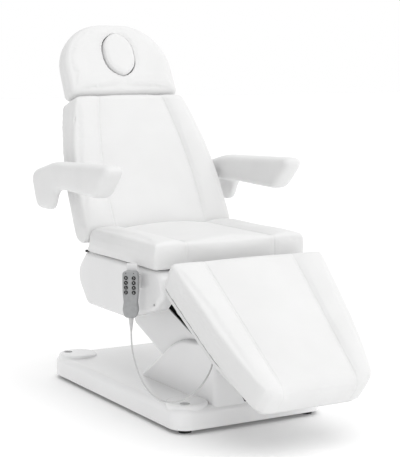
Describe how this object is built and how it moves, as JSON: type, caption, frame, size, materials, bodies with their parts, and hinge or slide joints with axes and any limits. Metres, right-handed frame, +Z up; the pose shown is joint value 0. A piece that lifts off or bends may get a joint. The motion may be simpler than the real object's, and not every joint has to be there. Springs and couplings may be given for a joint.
{
  "type": "beauty treatment chair",
  "caption": "Electric treatment chair with lifting base, tilting seat, folding back and leg sections, headrest with face plug, folding armrests and corded handset.",
  "frame": {"origin": "on the floor, in the middle of the chair's overall outline at rest", "axes": "+Z up, +Y from the foot end to the head end, +X to the right seen from the foot end towards the head end"},
  "size_m": [0.8, 1.5023, 1.3446],
  "materials": {
    "white_upholstery": "smooth white artificial leather",
    "white_skin": "smooth moulded skin over a rigid core",
    "white_cover": "satin white moulding",
    "board": "plywood covered in white cloth",
    "black_steel": "black powder coat",
    "bright_steel": "turned steel",
    "motor_black": "matt",
    "handset_grey": "matt",
    "black_rubber": "matt",
    "pale_rubber": "smooth light grey cord sheath"
  },
  "bodies": {
    "base": {"base_frame": "black_steel", "base_cover": "white_cover", "leveling_feet": "black_rubber", "mains_inlet": "motor_black", "base_pivot_pins": "bright_steel"},
    "lift_arm": {"lift_arm_frame": "black_steel", "lift_arm_cover": "white_cover"},
    "lift_link_pair": {"lift_links": "black_steel"},
    "lift_drive": {"lift_motor": "motor_black"},
    "lift_piston": {"lift_rod": "bright_steel"},
    "carriage": {"carriage_frame": "black_steel", "carriage_pins": "bright_steel", "main_shaft": "black_steel", "side_cover_left": "white_cover", "side_cover_right": "white_cover", "cover_screws": "bright_steel", "seat_buffers": "black_rubber", "control_box": "motor_black", "cable_grommet": "black_rubber", "handset_holder": "white_cover", "handset_cord": "pale_rubber"},
    "tilt_drive": {"tilt_motor": "motor_black"},
    "tilt_piston": {"tilt_rod": "bright_steel"},
    "seat": {"seat_frame": "black_steel", "seat_board": "board", "seat_cushion": "white_upholstery", "leg_shaft": "bright_steel"},
    "back_drive": {"back_motor": "motor_black"},
    "back_piston": {"back_rod": "bright_steel"},
    "leg_drive": {"leg_motor": "motor_black"},
    "leg_piston": {"leg_rod": "bright_steel"},
    "back": {"back_frame": "black_steel", "back_board": "board", "back_cushion": "white_upholstery", "armrest_shaft": "bright_steel", "headrest_guides": "black_steel"},
    "leg": {"leg_frame": "black_steel", "leg_board": "board", "leg_cushion": "white_upholstery"},
    "headrest_slider": {"headrest_rods": "bright_steel"},
    "headrest": {"headrest_bracket": "black_steel", "headrest_board": "board", "headrest_cushion": "white_upholstery"},
    "plug": {"face_plug": "white_upholstery"},
    "left_armrest": {"armrest_left": "white_skin"},
    "right_armrest": {"armrest_right": "white_skin"},
    "handset": {"handset_front": "handset_grey", "handset_back": "handset_grey", "handset_strain_relief": "pale_rubber"},
    "key_1": {"button_1": "black_rubber"},
    "key_2": {"button_2": "black_rubber"},
    "key_3": {"button_3": "black_rubber"},
    "key_4": {"button_4": "black_rubber"},
    "key_5": {"button_5": "black_rubber"},
    "key_6": {"button_6": "black_rubber"},
    "key_7": {"button_7": "black_rubber"},
    "key_8": {"button_8": "black_rubber"}
  },
  "joints": [
    {"name": "lift", "type": "hinge", "parent": "base", "child": "lift_arm", "pos_m": [0, -0.188, 0.19], "axis": [1, 0, 0], "range_deg": [0, 41]},
    {"name": "lift_links_swing", "type": "hinge", "parent": "base", "child": "lift_link_pair", "pos_m": [0, -0.248, 0.23], "axis": [1, 0, 0], "range_deg": [0, 41.5]},
    {"name": "carriage_level", "type": "hinge", "parent": "lift_arm", "child": "carriage", "pos_m": [0, 0.233, 0.351], "axis": [1, 0, 0], "range_deg": [-41.5, 0]},
    {"name": "lift_motor_swing", "type": "hinge", "parent": "base", "child": "lift_drive", "pos_m": [0, -0.188, 0.19], "axis": [1, 0, 0], "range_deg": [0, 38.5]},
    {"name": "lift_rod_slide", "type": "slide", "parent": "lift_drive", "child": "lift_piston", "axis": [0, 0.8351, 0.5501], "range_m": [0, 0.064]},
    {"name": "seat_tilt", "type": "hinge", "parent": "carriage", "child": "seat", "pos_m": [0, 0.319, 0.525], "axis": [-1, 0, 0], "range_deg": [0, 12]},
    {"name": "tilt_motor_swing", "type": "hinge", "parent": "carriage", "child": "tilt_drive", "pos_m": [0, 0.1, 0.44], "axis": [1, 0, 0], "range_deg": [-2, 0]},
    {"name": "tilt_rod_slide", "type": "slide", "parent": "tilt_drive", "child": "tilt_piston", "axis": [0, 0.9999, -0.017], "range_m": [-0.02, 0]},
    {"name": "backrest", "type": "hinge", "parent": "seat", "child": "back", "pos_m": [0, 0.319, 0.525], "axis": [1, 0, 0], "range_deg": [-63, 0]},
    {"name": "back_motor_swing", "type": "hinge", "parent": "seat", "child": "back_drive", "pos_m": [0, 0.1, 0.46], "axis": [1, 0, 0], "range_deg": [-6.7, 0]},
    {"name": "back_rod_slide", "type": "slide", "parent": "back_drive", "child": "back_piston", "axis": [0, 0.9973, 0.0732], "range_m": [-0.069, 0]},
    {"name": "legrest", "type": "hinge", "parent": "seat", "child": "leg", "pos_m": [0, -0.218, 0.452], "axis": [-1, 0, 0], "range_deg": [0, 39]},
    {"name": "leg_motor_swing", "type": "hinge", "parent": "seat", "child": "leg_drive", "pos_m": [0, 0.04, 0.47], "axis": [1, 0, 0], "range_deg": [-5, 0]},
    {"name": "leg_rod_slide", "type": "slide", "parent": "leg_drive", "child": "leg_piston", "axis": [0, -0.9572, -0.2894], "range_m": [0, 0.036]},
    {"name": "headrest_height", "type": "slide", "parent": "back", "child": "headrest_slider", "axis": [0, 0.454, 0.891], "range_m": [0, 0.08]},
    {"name": "headrest_tilt", "type": "hinge", "parent": "headrest_slider", "child": "headrest", "pos_m": [0, 0.64876, 1.07527], "axis": [1, 0, 0], "range_deg": [-30, 0]},
    {"name": "plug_pull", "type": "slide", "parent": "headrest", "child": "plug", "axis": [0, -0.891, 0.454], "range_m": [0, 0.11]},
    {"name": "armrest_left_fold", "type": "hinge", "parent": "back", "child": "left_armrest", "pos_m": [0, 0.49355, 0.77837], "axis": [-1, 0, 0], "range_deg": [0, 100]},
    {"name": "armrest_right_fold", "type": "hinge", "parent": "back", "child": "right_armrest", "pos_m": [0, 0.49355, 0.77837], "axis": [-1, 0, 0], "range_deg": [0, 100]},
    {"name": "handset_lift", "type": "slide", "parent": "carriage", "child": "handset", "axis": [0, 0, 1], "range_m": [0, 0.025]},
    {"name": "press_1", "type": "slide", "parent": "handset", "child": "key_1", "axis": [0.6997, 0.7145, 0], "range_m": [0, 0.0012], "stiffness_N_per_m": 800},
    {"name": "press_2", "type": "slide", "parent": "handset", "child": "key_2", "axis": [0.6997, 0.7145, 0], "range_m": [0, 0.0012], "stiffness_N_per_m": 800},
    {"name": "press_3", "type": "slide", "parent": "handset", "child": "key_3", "axis": [0.6997, 0.7145, 0], "range_m": [0, 0.0012], "stiffness_N_per_m": 800},
    {"name": "press_4", "type": "slide", "parent": "handset", "child": "key_4", "axis": [0.6997, 0.7145, 0], "range_m": [0, 0.0012], "stiffness_N_per_m": 800},
    {"name": "press_5", "type": "slide", "parent": "handset", "child": "key_5", "axis": [0.6997, 0.7145, 0], "range_m": [0, 0.0012], "stiffness_N_per_m": 800},
    {"name": "press_6", "type": "slide", "parent": "handset", "child": "key_6", "axis": [0.6997, 0.7145, 0], "range_m": [0, 0.0012], "stiffness_N_per_m": 800},
    {"name": "press_7", "type": "slide", "parent": "handset", "child": "key_7", "axis": [0.6997, 0.7145, 0], "range_m": [0, 0.0012], "stiffness_N_per_m": 800},
    {"name": "press_8", "type": "slide", "parent": "handset", "child": "key_8", "axis": [0.6997, 0.7145, 0], "range_m": [0, 0.0012], "stiffness_N_per_m": 800}
  ],
  "couplings": [
    {"joint": "lift_links_swing", "follows": "lift", "ratio": 1},
    {"joint": "carriage_level", "follows": "lift", "ratio": -1},
    {"joint": "lift_motor_swing", "follows": "lift", "ratio": 0.9154},
    {"joint": "lift_rod_slide", "follows": "lift", "m_per_rad": 0.087727},
    {"joint": "tilt_motor_swing", "follows": "seat_tilt", "ratio": -0.1109},
    {"joint": "tilt_rod_slide", "follows": "seat_tilt", "m_per_rad": -0.090932},
    {"joint": "back_motor_swing", "follows": "backrest", "ratio": 0.1051},
    {"joint": "back_rod_slide", "follows": "backrest", "m_per_rad": 0.062067},
    {"joint": "leg_motor_swing", "follows": "legrest", "ratio": -0.1079},
    {"joint": "leg_rod_slide", "follows": "legrest", "m_per_rad": 0.050519}
  ]
}
